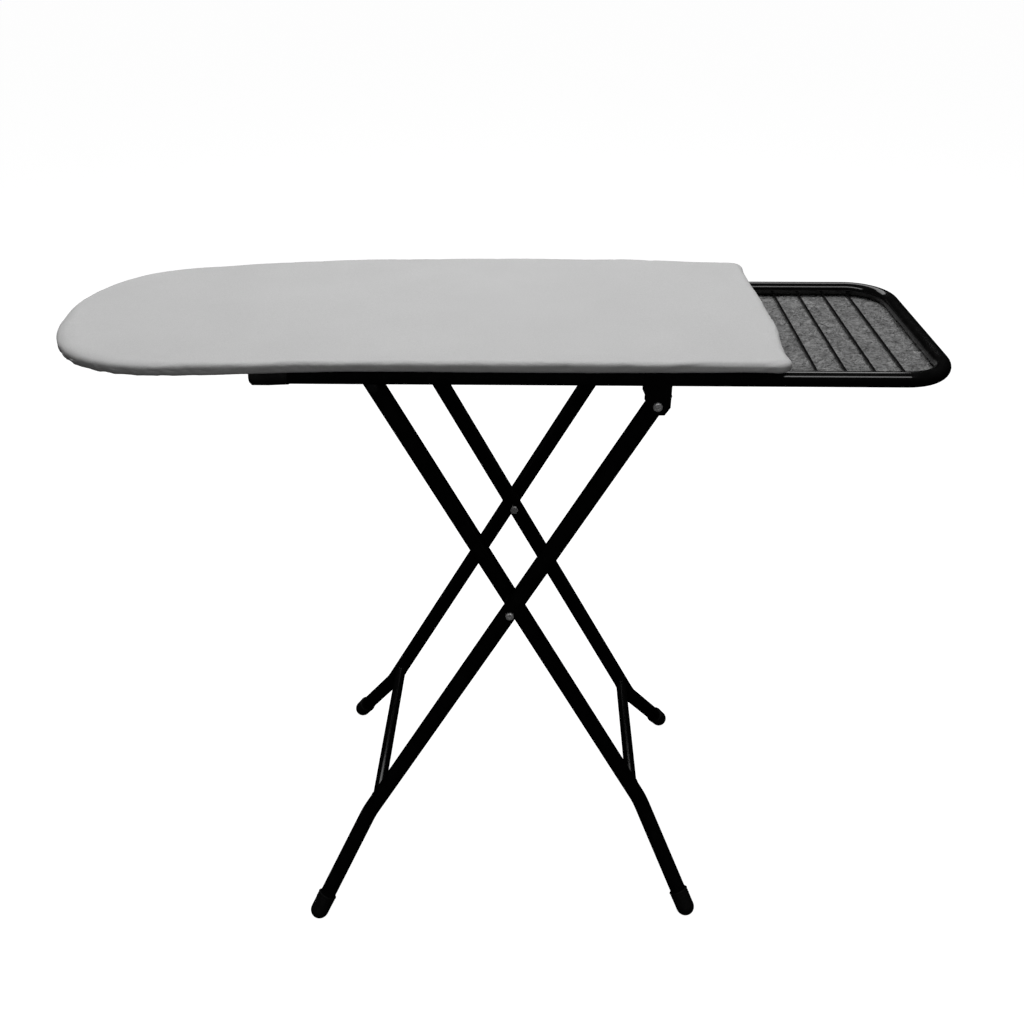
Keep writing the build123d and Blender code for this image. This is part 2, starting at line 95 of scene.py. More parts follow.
def tube_along(name, points, radii, sides, closed):
    """Round tube along a line of points, a radius for each, with flat ends when it is open."""
    points = [Vector(p) for p in points]
    count = len(points)
    angles = [TAU * k / sides for k in range(sides)]
    rows, reference = [], None
    for i, point in enumerate(points):
        after = points[(i + 1) % count] if closed else points[min(i + 1, count - 1)]
        before = points[i - 1] if closed else points[max(i - 1, 0)]
        tangent = (after - before).normalized()
        if reference is None:
            reference = tangent.orthogonal().normalized()
        reference = (reference - tangent * reference.dot(tangent)).normalized()
        side = tangent.cross(reference)
        rows.append([point + (reference * math.cos(a) + side * math.sin(a)) * radii[i]
                     for a in angles])
    vertices = [v for row in rows for v in row]
    faces = ring_faces(count, sides)
    if closed:
        start = (count - 1) * sides
        faces += [(start + k, start + (k + 1) % sides, (k + 1) % sides, k) for k in range(sides)]
    else:
        faces.append(tuple(reversed(range(sides))))
        faces.append(tuple(range((count - 1) * sides, count * sides)))
    return make_object(name, vertices, faces)


def lathe(name, profile, sides=48):
    """Closed surface about local Z from rising (radius, height) points, both ends on the axis."""
    angles = [TAU * k / sides for k in range(sides)]
    vertices = [(r * math.cos(a), r * math.sin(a), h) for r, h in profile for a in angles]
    obj = make_object(name, vertices, ring_faces(len(profile), sides))
    merge_doubles(obj)
    return obj


# ---- materials ----------------------------------------------------------------------------------
class Material:
    """A node material with a Principled shader, and short calls for the nodes that it needs."""

    def __init__(self, name, colour, roughness, metallic=0.0, specular=0.5):
        self.material = bpy.data.materials.new(name)
        self.material.use_nodes = True
        self.nodes = self.material.node_tree.nodes
        self.links = self.material.node_tree.links
        self.shader = self.nodes["Principled BSDF"]
        self.shader.inputs["Base Color"].default_value = (*colour, 1)
        self.shader.inputs["Roughness"].default_value = roughness
        self.shader.inputs["Metallic"].default_value = metallic
        self.shader.inputs["Specular IOR Level"].default_value = specular
        self.place = self.nodes.new("ShaderNodeTexCoord").outputs["Object"]
        self.height = None

    def node(self, kind, **values):
        made = self.nodes.new(kind)
        for key, value in values.items():
            setattr(made, key, value)
        return made

    def link(self, source, target):
        self.links.new(source, target)

    def stretched(self, scale):
        mapping = self.node("ShaderNodeMapping")
        mapping.inputs["Scale"].default_value = scale
        self.link(self.place, mapping.inputs["Vector"])
        return mapping.outputs["Vector"]

    def noise(self, scale, detail=3.0, rough=0.5, vector=None, distortion=0.0):
        made = self.node("ShaderNodeTexNoise")
        made.inputs["Scale"].default_value = scale
        made.inputs["Detail"].default_value = detail
        made.inputs["Roughness"].default_value = rough
        made.inputs["Distortion"].default_value = distortion
        self.link(vector or self.place, made.inputs["Vector"])
        return made.outputs["Fac"]

    def wave(self, direction, scale, distortion=0.0, vector=None):
        made = self.node("ShaderNodeTexWave", wave_type="BANDS", bands_direction=direction)
        made.inputs["Scale"].default_value = scale
        made.inputs["Distortion"].default_value = distortion
        made.inputs["Detail"].default_value = 1.0
        made.inputs["Detail Scale"].default_value = 1.5
        self.link(vector or self.place, made.inputs["Vector"])
        return made.outputs["Fac"]

    def math(self, operation, a, b):
        made = self.node("ShaderNodeMath", operation=operation)
        for socket, value in zip(made.inputs, (a, b)):
            if isinstance(value, (int, float)):
                socket.default_value = value
            else:
                self.link(value, socket)
        return made.outputs[0]

    def ramp(self, source, stops):
        made = self.node("ShaderNodeValToRGB")
        elements = made.color_ramp.elements
        while len(elements) < len(stops):
            elements.new(0.5)
        for element, (position, colour) in zip(elements, stops):
            element.position = position
            element.color = (*colour, 1)
        self.link(source, made.inputs["Fac"])
        return made.outputs["Color"]

    def mix(self, factor, a, b, blend="MIX"):
        made = self.node("ShaderNodeMix", data_type="RGBA", blend_type=blend)
        for name, value in (("Factor", factor), ("A", a), ("B", b)):
            socket = [s for s in made.inputs if s.name == name and s.enabled][0]
            if isinstance(value, (int, float)):
                socket.default_value = value
            elif isinstance(value, tuple):
                socket.default_value = (*value, 1)
            else:
                self.link(value, socket)
        return [s for s in made.outputs if s.enabled][0]

    def colour_from(self, socket):
        self.link(socket, self.shader.inputs["Base Color"])

    def roughness_from(self, source, low, high):
        made = self.node("ShaderNodeMapRange")
        made.inputs["To Min"].default_value = low
        made.inputs["To Max"].default_value = high
        self.link(source, made.inputs["Value"])
        self.link(made.outputs["Result"], self.shader.inputs["Roughness"])

    def bump(self, source, distance, strength=1.0):
        made = self.node("ShaderNodeBump")
        made.inputs["Strength"].default_value = strength
        made.inputs["Distance"].default_value = distance
        self.link(source, made.inputs["Height"])
        if self.height is not None:
            self.link(self.height, made.inputs["Normal"])
        self.height = made.outputs["Normal"]
        self.link(self.height, self.shader.inputs["Normal"])


def grey(value):
    return (value, value, value)


def cover_material():
    """Plain-woven cotton: threads both ways, slubs, and a faint unevenness of the dye."""
    m = Material("cover_cotton", grey(0.55), 0.88, specular=0.2)
    m.shader.inputs["Sheen Weight"].default_value = 0.12
    m.shader.inputs["Sheen Roughness"].default_value = 0.5
    warp = m.wave("X", 1150, 0.9)
    weft = m.wave("Y", 1150, 0.9)
    weave = m.math("MAXIMUM", warp, weft)
    slub_x = m.noise(1.0, 3, 0.6, m.stretched((420, 1500, 1200)))
    slub_y = m.noise(1.0, 3, 0.6, m.stretched((1500, 420, 1200)))
    slubs = m.math("ADD", slub_x, slub_y)
    speckle = m.noise(820, 2, 0.6)
    shade = m.ramp(speckle, [(0.3, grey(0.515)), (0.7, grey(0.565))])
    worn = m.ramp(m.noise(11, 4, 0.6), [(0.3, grey(0.955)), (0.72, grey(1.0))])
    threads = m.ramp(m.math("MULTIPLY", slubs, 0.5), [(0.36, grey(0.93)), (0.64, grey(1.04))])
    colour = m.mix(1.0, shade, worn, "MULTIPLY")
    m.colour_from(m.mix(1.0, colour, threads, "MULTIPLY"))
    m.bump(m.noise(26, 3, 0.55), 0.0012, 0.25)
    m.bump(slubs, 0.0002, 0.4)
    m.bump(weave, 0.0001, 0.25)
    return m.material


def felt_material():
    m = Material("pad_felt", (0.5, 0.48, 0.43), 0.95, specular=0.1)
    fibres = m.noise(420, 6, 0.75, distortion=1.2)
    m.colour_from(m.ramp(fibres, [(0.3, (0.4, 0.38, 0.33)), (0.7, (0.56, 0.54, 0.49))]))
    m.bump(fibres, 0.0006, 0.7)
    return m.material


def enamel_material():
    """Black stoving enamel: glossy, with faint orange peel, dust and rubbed spots."""
    m = Material("black_enamel", grey(0.004), 0.1, specular=0.5)
    dust = m.noise(60, 5, 0.65)
    m.colour_from(m.ramp(dust, [(0.45, grey(0.0035)), (0.85, grey(0.0075))]))
    m.roughness_from(m.noise(22, 4, 0.6), 0.07, 0.15)
    m.bump(m.noise(330, 2, 0.5), 0.0001, 0.1)
    return m.material


def rest_sheet_material():
    """Grey crinkle-embossed sheet: the relief is in the mesh; the colour has painted shade along
    crease lines and is a little lighter between them.
    """
    m = Material("rest_sheet_grey", grey(0.19), 0.55, specular=0.35)
    grain = m.noise(900, 4, 0.7)
    patch = m.noise(38, 4, 0.6)
    base = m.ramp(patch, [(0.3, grey(0.19)), (0.75, grey(0.255))])
    folds = m.math("SUBTRACT", m.noise(78, 3, 0.55, distortion=1.1), 0.5)
    crease = m.math("ABSOLUTE", folds, 0)
    # painted shade: the colour is dark along the crease lines of a noise and a little lighter between
    # them, standing in for the light on the relief
    painted_crease_shade = m.ramp(crease, [(0.0, grey(0.4)), (0.035, grey(0.82)), (0.12, grey(1.06))])
    specks = m.ramp(grain, [(0.3, grey(0.84)), (0.7, grey(1.1))])
    m.colour_from(m.mix(1.0, m.mix(1.0, base, painted_crease_shade, "MULTIPLY"), specks, "MULTIPLY"))
    m.roughness_from(patch, 0.45, 0.65)
    m.bump(m.noise(105, 3, 0.6, distortion=1.0), 0.013, 1.0)
    m.bump(grain, 0.0002, 0.5)
    return m.material


def zinc_material():
    m = Material("zinc_steel", grey(0.7), 0.34, metallic=0.4)
    spangle = m.node("ShaderNodeTexVoronoi")
    spangle.inputs["Scale"].default_value = 520
    m.link(m.place, spangle.inputs["Vector"])
    m.colour_from(m.ramp(spangle.outputs["Distance"], [(0.0, grey(0.9)), (0.9, grey(0.6))]))
    m.roughness_from(m.noise(500, 4, 0.6), 0.26, 0.46)
    m.bump(m.noise(1500, 3, 0.6), 0.00005, 0.4)
    return m.material


def rubber_material():
    m = Material("foot_rubber", grey(0.005), 0.75, specular=0.2)
    scuff = m.noise(160, 5, 0.7)
    m.colour_from(m.ramp(scuff, [(0.45, grey(0.004)), (0.85, grey(0.01))]))
    m.roughness_from(scuff, 0.65, 0.9)
    m.bump(m.noise(1900, 2, 0.5), 0.00012, 0.45)
    return m.material


def plastic_material(name, value):
    m = Material(name, grey(value), 0.48, specular=0.4)
    grain = m.noise(1400, 3, 0.6)
    cloud = m.noise(70, 4, 0.6)
    m.colour_from(m.ramp(cloud, [(0.4, grey(value * 0.85)), (0.8, grey(value * 1.35))]))
    m.roughness_from(grain, 0.4, 0.6)
    m.bump(grain, 0.0001, 0.4)
    return m.material


def plywood_material():
    """Deck board seen from below: long wavy grain with darker pores."""
    m = Material("deck_plywood", (0.42, 0.27, 0.14), 0.68, specular=0.25)
    along = m.stretched((2.2, 30, 30))
    figure = m.noise(1.0, 5, 0.55, along, distortion=1.6)
    rings = m.wave("Y", 9, 7.0, m.stretched((0.35, 1, 1)))
    pores = m.noise(1.0, 3, 0.7, m.stretched((55, 1400, 1400)))
    light = m.ramp(figure, [(0.3, (0.33, 0.2, 0.1)), (0.7, (0.52, 0.35, 0.19))])
    bands = m.ramp(rings, [(0.2, (0.3, 0.18, 0.09)), (0.8, (0.55, 0.38, 0.22))])
    dots = m.ramp(pores, [(0.32, grey(0.62)), (0.5, grey(1.0))])
    m.colour_from(m.mix(1.0, m.mix(0.35, light, bands), dots, "MULTIPLY"))
    m.bump(pores, 0.0002, 0.5)
    return m.material


materials = {
    "cover_fabric": cover_material(),
    "pad_felt": felt_material(),
    "black_paint": enamel_material(),
    "rest_sheet": rest_sheet_material(),
    "zinc_steel": zinc_material(),
    "black_rubber": rubber_material(),
    "black_plastic": plastic_material("black_polypropylene", 0.012),
    "nylon": plastic_material("black_nylon", 0.02),
    "deck_wood": plywood_material(),
}


def finish_nodes():
    """Every CAD node takes the material of its slot in the record."""
    for part in frame["record"]["subparts"]:
        mesh = nodes[part["node"]].data
        mesh.materials.clear()
        mesh.materials.append(materials[part["material_slot"]])


def dress(obj, slot_name, body):
    obj.data.materials.append(materials[slot_name])
    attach(obj, body)
    return obj


# ---- padded cover -------------------------------------------------------------------------------
COVER_LOW, COVER_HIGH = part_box("cover")
FELT_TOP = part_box("foam_pad")[1].z
BEND_START, BEND_END = -0.1025, -0.4925     # X where the deck starts and stops bending down
BEND_DROP = 11.6 * MM
TOP_FOLLOWS, HEM_FOLLOWS = 0.8, 1.15        # how far the cloth's top and its hem follow that bend
OUTLINE_STEPS = 330                         # points along one half of the outline
CLOTH_THICK = 0.9 * MM

HEM_UNDER = COVER_HIGH.z - 13.0 * MM        # underside of the hem where the deck is level
HEM_INSET = 14.0 * MM                       # from the outline in to the hem's edge
HEM_STEP = 2.2 * MM
HEM_TURN = 27 * MM                          # cloth past the outline: the board's edge and the hem
CASING_R = 1.7                              # mm, casing of the elastic between two gathers
GATHER_PITCH = 4.1                          # points of the outline from one gather to the next

# Rings of the cloth from the hem's edge on: flat hem, turn under the edge, side, turn over it, top.
HEM_RINGS, UNDER_RINGS, SIDE_RINGS, OVER_RINGS, TOP_RINGS = 6, 3, 3, 9, 30
HELD_RINGS = HEM_RINGS + UNDER_RINGS        # the simulation doesn't move these
EDGE_RINGS = HELD_RINGS + SIDE_RINGS + OVER_RINGS
SETTLE_FRAMES = 20
SETTLE_CAP = 0.45 * MM                      # the most that the simulation may move the cloth

# How far the elastic pulls the square end in: depth in mm, middle and half width along Y in m.
END_PULLS = ((1.3, -0.125, 0.034), (-1.8, -0.055, 0.035), (1.2, 0.1, 0.045),
             (-2.4, 0.165, 0.014), (-3.6, -0.167, 0.016))

FELT_INSET = 2.3                            # mm, from the cover's outline in to the felt's side
FELT_THICK = 4.2 * MM
FELT_TURN_RINGS, FELT_UNDER_RINGS, FELT_TOP_RINGS = 8, 12, 20


def smooth(value):
    t = np.clip(value, 0, 1)
    return t * t * (3 - 2 * t)


def rise(x, start, width):
    """0 before start, 1 past start + width, smooth between; a negative width rises to the left."""
    return smooth((x - start) / width)


def deck_drop(x):
    return BEND_DROP * rise(x, BEND_START, BEND_END - BEND_START)


def nose_share(x):
    """0 along the straight sides, 1 at the nose, where the cloth is pulled tightest."""
    return rise(x, -0.27, -0.2)


def top_sag(x):
    """The old felt lies a little low along the board, and lowest towards the square end."""
    along = 2.2 * rise(x, -0.5, 0.13) - 0.9 * rise(x, -0.2, 0.2)
    return (along + 2.2 * rise(x, 0.14, 0.14)) * MM


def edge_turn(x, y):
    """Width and height of the cloth's turn over the board's edge, and of the turn under it."""
    nose, end, near = nose_share(x), rise(x, 0.2, 0.1), rise(y, 0.04, -0.08)
    across = (5.0 + (2.0 + 8.0 * near) * nose + 3.5 * end) * MM
    down = (5.0 + 2.0 * nose + 0.8 * end) * MM
    return across, down, (3.6 + 2.2 * nose * near) * MM


def end_pull(y):
    """Depth of the square end's dents and bulges between its two corners."""
    hills = [deep * np.exp(-((y - middle) / width) ** 2) for deep, middle, width in END_PULLS]
    return sum(hills) * MM


def far_half_outline(points):
    """Far half of the convex outline of the points, from the nose to the square end."""
    rounded = set((round(float(x), 7), round(float(y), 7)) for x, y in points if y >= -1e-6)
    upper = []
    for p in sorted(rounded):
        while len(upper) > 1 and ((upper[-1][0] - upper[-2][0]) * (p[1] - upper[-2][1])
                                  - (upper[-1][1] - upper[-2][1]) * (p[0] - upper[-2][0])) >= 0:
            upper.pop()
        upper.append(p)
    return np.array(upper)


def board_outline():
    """Evenly spaced points round the board with their outward normals, pulled in at both ends."""
    co = np.array([v.co for v in nodes["cover"].data.vertices])
    half = far_half_outline(co[:, :2])
    half[0, 1] = 0.0
    half = np.vstack([half, [COVER_HIGH.x, 0.0]])
    lengths = np.concatenate([[0], np.cumsum(np.hypot(*np.diff(half, axis=0).T))])
    at = np.linspace(0, lengths[-1], OUTLINE_STEPS + 1)
    far = np.column_stack([np.interp(at, lengths, half[:, k]) for k in (0, 1)])
    loop = np.vstack([far, far[-2:0:-1] * (1, -1)])
    for _ in range(3):
        loop = (np.roll(loop, 1, 0) + 2 * loop + np.roll(loop, -1, 0)) / 4
    loop[:, 0] -= end_pull(loop[:, 1]) * rise(loop[:, 0], 0.29, 0.02)
    loop[:, 0] += 1.2 * MM * rise(loop[:, 0], -0.46, -0.04) * rise(loop[:, 1], 0, 0.03)
    tangent = np.roll(loop, -1, 0) - np.roll(loop, 1, 0)
    tangent /= np.linalg.norm(tangent, axis=1)[:, None]
    normal = np.column_stack([-tangent[:, 1], tangent[:, 0]])
    near_nose = 1.35 * MM * rise(loop[:, 0], -0.4, -0.05) * rise(loop[:, 1], 0.03, -0.04)
    return loop - normal * near_nose[:, None], normal


def rings_inward(edge, z, rows, power=1.1, reach=150 * MM):
    """Rings from a closed edge in to a line along the middle of the board."""
    both = (edge[:, 0] + np.roll(edge[::-1, 0], 1)) / 2      # the same for a point and its mirror
    middle = np.column_stack([np.clip(both, COVER_LOW.x + reach, COVER_HIGH.x - reach), 0 * both])
    made = []
    for k in range(1, rows + 1):
        flat = edge[:, :2] + (middle - edge[:, :2]) * (k / rows) ** power
        made.append(np.column_stack([flat, np.full(len(flat), z)]))
    return made


def cover_surface():
    """Rings of the cloth's outside, from the hem's edge under the deck to the middle of the top."""
    loop, normal = board_outline()
    turn_in, turn_down, under = edge_turn(loop[:, 0], loop[:, 1])
    rings = []

    def ring(inset, height):
        flat = loop - normal * np.broadcast_to(inset, len(loop))[:, None]
        rings.append(np.column_stack([flat, np.broadcast_to(height, len(loop))]))

    for k in range(HEM_RINGS):
        ring(HEM_INSET - k * HEM_STEP, HEM_UNDER)
    for k in range(1, UNDER_RINGS + 1):
        a = math.pi / 2 * k / (UNDER_RINGS + 1)
        ring(under * (1 - math.sin(a)), HEM_UNDER + under * (1 - math.cos(a)))
    low, high = HEM_UNDER + under, COVER_HIGH.z - turn_down
    for k in range(SIDE_RINGS):
        ring(0, low + (high - low) * k / SIDE_RINGS)
    for k in range(OVER_RINGS):
        a = math.pi / 2 * k / (OVER_RINGS - 1)
        ring(turn_in * (1 - math.cos(a)), high + turn_down * math.sin(a))
    return rings + rings_inward(rings[-1], COVER_HIGH.z, TOP_RINGS)


def lumps(x, y, scale, seed):
    return noise.noise(Vector((x * scale, y * scale, seed)))


def shape_cover(rings):
    """Bends the flat rings down at the nose and gives the cloth its small uneven folds."""
    loop, normal = board_outline()
    gathers = np.array([lumps(a, b, 105, 6.6) + 0.6 * lumps(a, b, 230, 2.2) for a, b in loop])
    shaped = []
    for ring in rings:
        x, y, z = ring[:, 0].copy(), ring[:, 1].copy(), ring[:, 2].copy()
        nose = nose_share(x)
        end = rise(x, 0.27, 0.05)
        depth = np.clip((COVER_HIGH.z - z) / (COVER_HIGH.z - HEM_UNDER), 0, 1)
        for i in range(len(ring)):
            side = lumps(x[i], y[i], 55, 3.1) + 0.5 * lumps(x[i], y[i], 150, 8.4)
            z[i] += (0.2 + 1.0 * nose[i]) * MM * side * depth[i]
            z[i] += 0.35 * MM * lumps(x[i], y[i], 14, 5.0) * (1 - depth[i])
        tuck = (0.15 + 2.6 * nose + 0.9 * end) * MM * gathers * rise(depth, 0.45, 0.3)
        tuck = np.clip(tuck, -0.8 * MM, (0.6 - 0.5 * nose) * MM)
        x -= normal[:, 0] * tuck
        y -= normal[:, 1] * tuck
        z -= deck_drop(x) * (TOP_FOLLOWS + (HEM_FOLLOWS - TOP_FOLLOWS) * depth)
        z -= top_sag(x) * (1 - depth) + 1.6 * MM * end * depth
        shaped.append(np.column_stack([x, y, z]))
    return shaped


def simulate(cloth, ring_length):
    """Lets the cloth settle with a little air under it, its hem held; the flat top hardly moves."""
    group = cloth.vertex_groups.new(name="held")
    group.add(list(range(HELD_RINGS * ring_length)), 1.0, "REPLACE")
    start = np.array([v.co for v in cloth.data.vertices])
    modifier = cloth.modifiers.new("settle", "CLOTH")
    settings = modifier.settings
    settings.quality = 5
    settings.mass = 0.25
    settings.tension_stiffness = settings.compression_stiffness = 22
    settings.shear_stiffness = 12
    settings.bending_stiffness = 0.8
    settings.vertex_group_mass = "held"
    settings.use_pressure = True
    settings.uniform_pressure_force = 0.35
    settings.shrink_min = -0.004
    settings.effector_weights.gravity = 0
    modifier.collision_settings.use_self_collision = False
    modifier.point_cache.frame_start, modifier.point_cache.frame_end = 1, SETTLE_FRAMES
    scene = bpy.context.scene
    for step in range(1, SETTLE_FRAMES + 1):
        scene.frame_set(step)
    settled = cloth.evaluated_get(bpy.context.evaluated_depsgraph_get()).to_mesh()
    moved = np.array([v.co for v in settled.vertices]) - start
    cloth.modifiers.remove(modifier)
    scene.frame_set(1)
    length = np.maximum(np.linalg.norm(moved, axis=1), 1e-9)
    row = np.arange(len(start)) // ring_length
    share = 0.92 * rise(row, EDGE_RINGS + 5, -5) + 0.08 * rise(row, EDGE_RINGS + 20, -8)
    moved *= (share * SETTLE_CAP * np.tanh(length / SETTLE_CAP) / length)[:, None]
    for vertex, place in zip(cloth.data.vertices, start + moved):
        vertex.co = place
    cloth.data.update()


def build_cover():
    rings = shape_cover(cover_surface())
    ring_length = len(rings[0])
    cover = make_object("cover_cloth", np.vstack(rings), ring_faces(len(rings), ring_length))
    merge_doubles(cover)
    simulate(cover, ring_length)
    thicken = cover.modifiers.new("thick", "SOLIDIFY")
    thicken.thickness = CLOTH_THICK
    thicken.offset = -1
    thicken.use_rim = True
    apply_modifier(cover, thicken)
    dress(cover, "cover_fabric", "board")
    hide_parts("cover")
    return cover


def build_hem_cord():
    """Casing of the elastic along the hem's inner edge, gathered most at the nose."""
    loop, normal = board_outline()
    points, radii = [], []
    for i in range(len(loop)):
        x, y = loop[i] - normal[i] * HEM_INSET
        gather = 0.5 + 0.5 * math.sin(i * TAU / GATHER_PITCH) * (0.6 + 0.4 * math.sin(i * 0.37))
        nose = float(nose_share(x))
        height = HEM_UNDER - 0.6 * MM - HEM_FOLLOWS * float(deck_drop(x)) - 0.4 * MM * gather
        points.append((x, y, height))
        radii.append((CASING_R + (0.25 + 0.55 * nose) * gather) * MM)
    cord = tube_along("hem_casing", points, radii, sides=10, closed=True)
    return dress(cord, "cover_fabric", "board")


def build_felt():
    """Needled felt pad between the deck and the cover, with soft edges and an uneven top."""
    loop, normal = board_outline()
    top = FELT_TOP - 0.1 * MM
    bottom = top - FELT_THICK
    across, down, _ = edge_turn(loop[:, 0], loop[:, 1])
    rings = []
    for inset, z in ((5.0, bottom), (2.8, bottom), (FELT_INSET, bottom + 0.3 * MM)):
        rings.append(np.column_stack([loop - normal * inset * MM, np.full(len(loop), z)]))
    for k in range(1, FELT_TURN_RINGS + 1):
        a = math.pi / 2 * k / FELT_TURN_RINGS
        inset = FELT_INSET * MM + across * (1 - math.cos(a))
        z = np.maximum(top - down * (1 - math.sin(a)), bottom + (0.3 + 0.05 * k) * MM)
        rings.append(np.column_stack([loop - normal * inset[:, None], z]))
    below = rings_inward(rings[0], bottom, FELT_UNDER_RINGS)[::-1]
    rings = below + rings + rings_inward(rings[-1], top, FELT_TOP_RINGS)
    shaped = []
    for ring in rings:
        x, y, z = ring.T
        soft = np.array([lumps(a, b, 40, 1.7) for a, b in ring[:, :2]])
        share = np.clip((z - bottom) / (top - bottom), 0, 1)
        lift = np.where(z > top - 1e-6, 0.2 * MM * (soft - 0.6), 0)
        lift = lift - deck_drop(x) * (1 + (TOP_FOLLOWS - 1) * share) - top_sag(x) * share
        shaped.append(np.column_stack([x, y, z + lift]))
    faces = [tuple(reversed(face)) for face in ring_faces(len(shaped), len(loop))]
    felt = make_object("felt_pad", np.vstack(shaped), faces)
    merge_doubles(felt)
    dress(felt, "pad_felt", "board")
    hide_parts("foam_pad")


def cut_size():
    """Width, length and area of the cut cloth: the board's top, its edge and the turned-under hem."""
    loop, _ = board_outline()
    x, y = loop[:, 0], loop[:, 1]
    area = 0.5 * abs(float(np.sum(x * np.roll(y, -1) - np.roll(x, -1) * y)))
    around = float(np.sum(np.hypot(*(np.roll(loop, -1, 0) - loop).T)))
    size = (2 * float(y.max()) + 2 * HEM_TURN, float(x.max() - x.min()) + 2 * HEM_TURN)
    return size, area + around * HEM_TURN


cover = build_cover()
hem = build_hem_cord()
build_felt()
flat_size, flat_area = cut_size()
finish_nodes()


# ---- crinkled sheet of the iron rest ------------------------------------------------------------
RAIL_LOW, RAIL_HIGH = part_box("frame_tube")
RAIL_R = 8.7 * MM
RAIL_BEND = 50 * MM                         # radius of the rail's axis at the two corners
RAIL_AXIS_Z = (RAIL_LOW.z + RAIL_HIGH.z) / 2
RAIL_AXIS_Y = RAIL_HIGH.y - RAIL_R
SHEET_CORNER = 48 * MM                      # the sheet's corner round the same middle as the bend
SHEET_BORDER = 3 * MM                       # the relief fades out over this width
SHEET_COLUMNS, SHEET_ROWS = 168, 232
WARP_OFFSETS = ((9.3, -1.5, -8.0), (0.0, 0.0, 0.0), (6.3, 0.2, -2.7))


def crinkle(x, y):
    """Embossed relief: two sizes of warped ridges, and a few flatter patches between them."""
    place = Vector((x, y, 0.0)) * 105
    shifts = [noise.noise(place * 0.55 + Vector(offset)) for offset in WARP_OFFSETS]
    warped = place + Vector(shifts) * 1.1
    coarse = 1 - 3.0 * abs(noise.noise(warped))
    fine = 1 - 3.0 * abs(noise.noise(warped * 2.3 + Vector((5.1, 2.7, 9.3))))
    patch = 0.55 + 0.6 * noise.noise(place * 0.24 + Vector((1.3, 8.2, 4.4)))
    return (1.5 * coarse + 0.75 * fine) * patch


def build_rest_sheet():
    """The sheet's top follows the relief; its edge lies under the rail like the plain panel's."""
    low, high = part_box("rest_panel")
    columns, rows = SHEET_COLUMNS, SHEET_ROWS
    bend_x, bend_y = RAIL_HIGH.x - RAIL_R - RAIL_BEND, RAIL_AXIS_Y - RAIL_BEND
    end = bend_x + SHEET_CORNER - 0.1 * MM
    top, under = [], []
    for i in range(columns + 1):
        x = low.x + (end - low.x) * i / columns
        half = bend_y + math.sqrt(SHEET_CORNER ** 2 - max(x - bend_x, 0.0) ** 2)
        for j in range(rows + 1):
            y = half * (2 * j / rows - 1)
            border = min(1.0, min(half - abs(y), end - x, x - low.x) / SHEET_BORDER)
            relief = max(-0.1, min(crinkle(x, y), 1.62)) * border
            top.append((x, y, high.z - (0.75 + 0.7 * border) * MM + 0.88 * MM * relief))
            under.append((x, y, low.z))
    faces = ring_faces(columns + 1, rows + 1, closed=False)
    shift = len(top)
    faces += [tuple(v + shift for v in reversed(face)) for face in faces]
    edge = list(range(rows + 1))
    edge += [i * (rows + 1) + rows for i in range(1, columns + 1)]
    edge += [columns * (rows + 1) + j for j in range(rows - 1, -1, -1)]
    edge += [i * (rows + 1) for i in range(columns - 1, 0, -1)]
    for a, b in zip(edge, edge[1:] + edge[:1]):
        faces.append((b, a, a + shift, b + shift))
    outward = [tuple(reversed(face)) for face in faces]
    sheet = make_object("crinkled_sheet", top + under, outward)
    dress(sheet, "rest_sheet", "board")
    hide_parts("rest_panel")


build_rest_sheet()


# ---- welds, ribs, caps and lips -----------------------------------------------------------------
OUTER_LEAN, INNER_LEAN = math.radians(29.5), math.radians(-27.4)
LEG_R = 11 * MM
WELD_OFF = 0.3 * MM                         # from the metal out to a bead's centre line
BEARER_WELD_Y = 3.2 * MM                    # from the rail's axis to the beads on both sides of it
ROD_WELD_R = 1.75 * MM
GRIP_BORE, GRIP_RIBS, GRIP_SIDES = 4.0 * MM, 10, 40
FOOT_RINGS = ((0.9, -0.2, 0.8), (5.0, -0.3, 0.6), (8.2, -0.3, 0.6))    # mm: down, out and radius
SIDES = (("near", -1), ("far", 1))


def bead(name, points, radius, slot_name, body, closed=False):
    """Weld bead with its small overlapping ripples."""
    ripples = [1 + 0.16 * math.sin(i * 2.1) + 0.1 * math.sin(i * 0.83) for i in range(len(points))]
    made = tube_along(name, points, [radius * share for share in ripples], sides=8, closed=closed)
    return dress(made, slot_name, body)


def crossbar_beads(node, leg_node, lean, body):
    """Ring of weld where each end of a crossbar meets the round of a leg."""
    low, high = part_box(node)
    x, z = (low.x + high.x) / 2, (low.z + high.z) / 2
    bar_r = (high.z - low.z) / 2 + 0.5 * MM
    steps = 44
    for side, sign in SIDES:
        leg_low, leg_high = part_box(leg_node + "_plug_" + side)
        leg_y = (leg_low.y + leg_high.y) / 2
        points = []
        for k in range(steps):
            a = TAU * k / steps
            across, up = bar_r * math.cos(a), bar_r * math.sin(a)
            y = leg_y - sign * math.sqrt(LEG_R ** 2 - across ** 2)
            points.append((x + across * math.cos(lean) + up * math.sin(lean), y - sign * WELD_OFF,
                           z - across * math.sin(lean) + up * math.cos(lean)))
        bead("weld_" + node + "_" + side, points, 1.25 * MM, "black_paint", body, closed=True)


def bracket_beads(side, sign):
    """Welds over the rail at both ends of a hinge bracket."""
    low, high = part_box("hinge_bracket_" + side)
    r = RAIL_R + WELD_OFF
    steps = 22
    for end, x in (("left", low.x - WELD_OFF), ("right", high.x + WELD_OFF)):
        points = []
        for k in range(steps + 1):
            a = math.radians(-12 + 204 * k / steps)
            points.append((x, sign * RAIL_AXIS_Y + r * math.cos(a), RAIL_AXIS_Z + r * math.sin(a)))
        bead("weld_bracket_" + side + "_" + end, points, 1.05 * MM, "black_paint", "board")


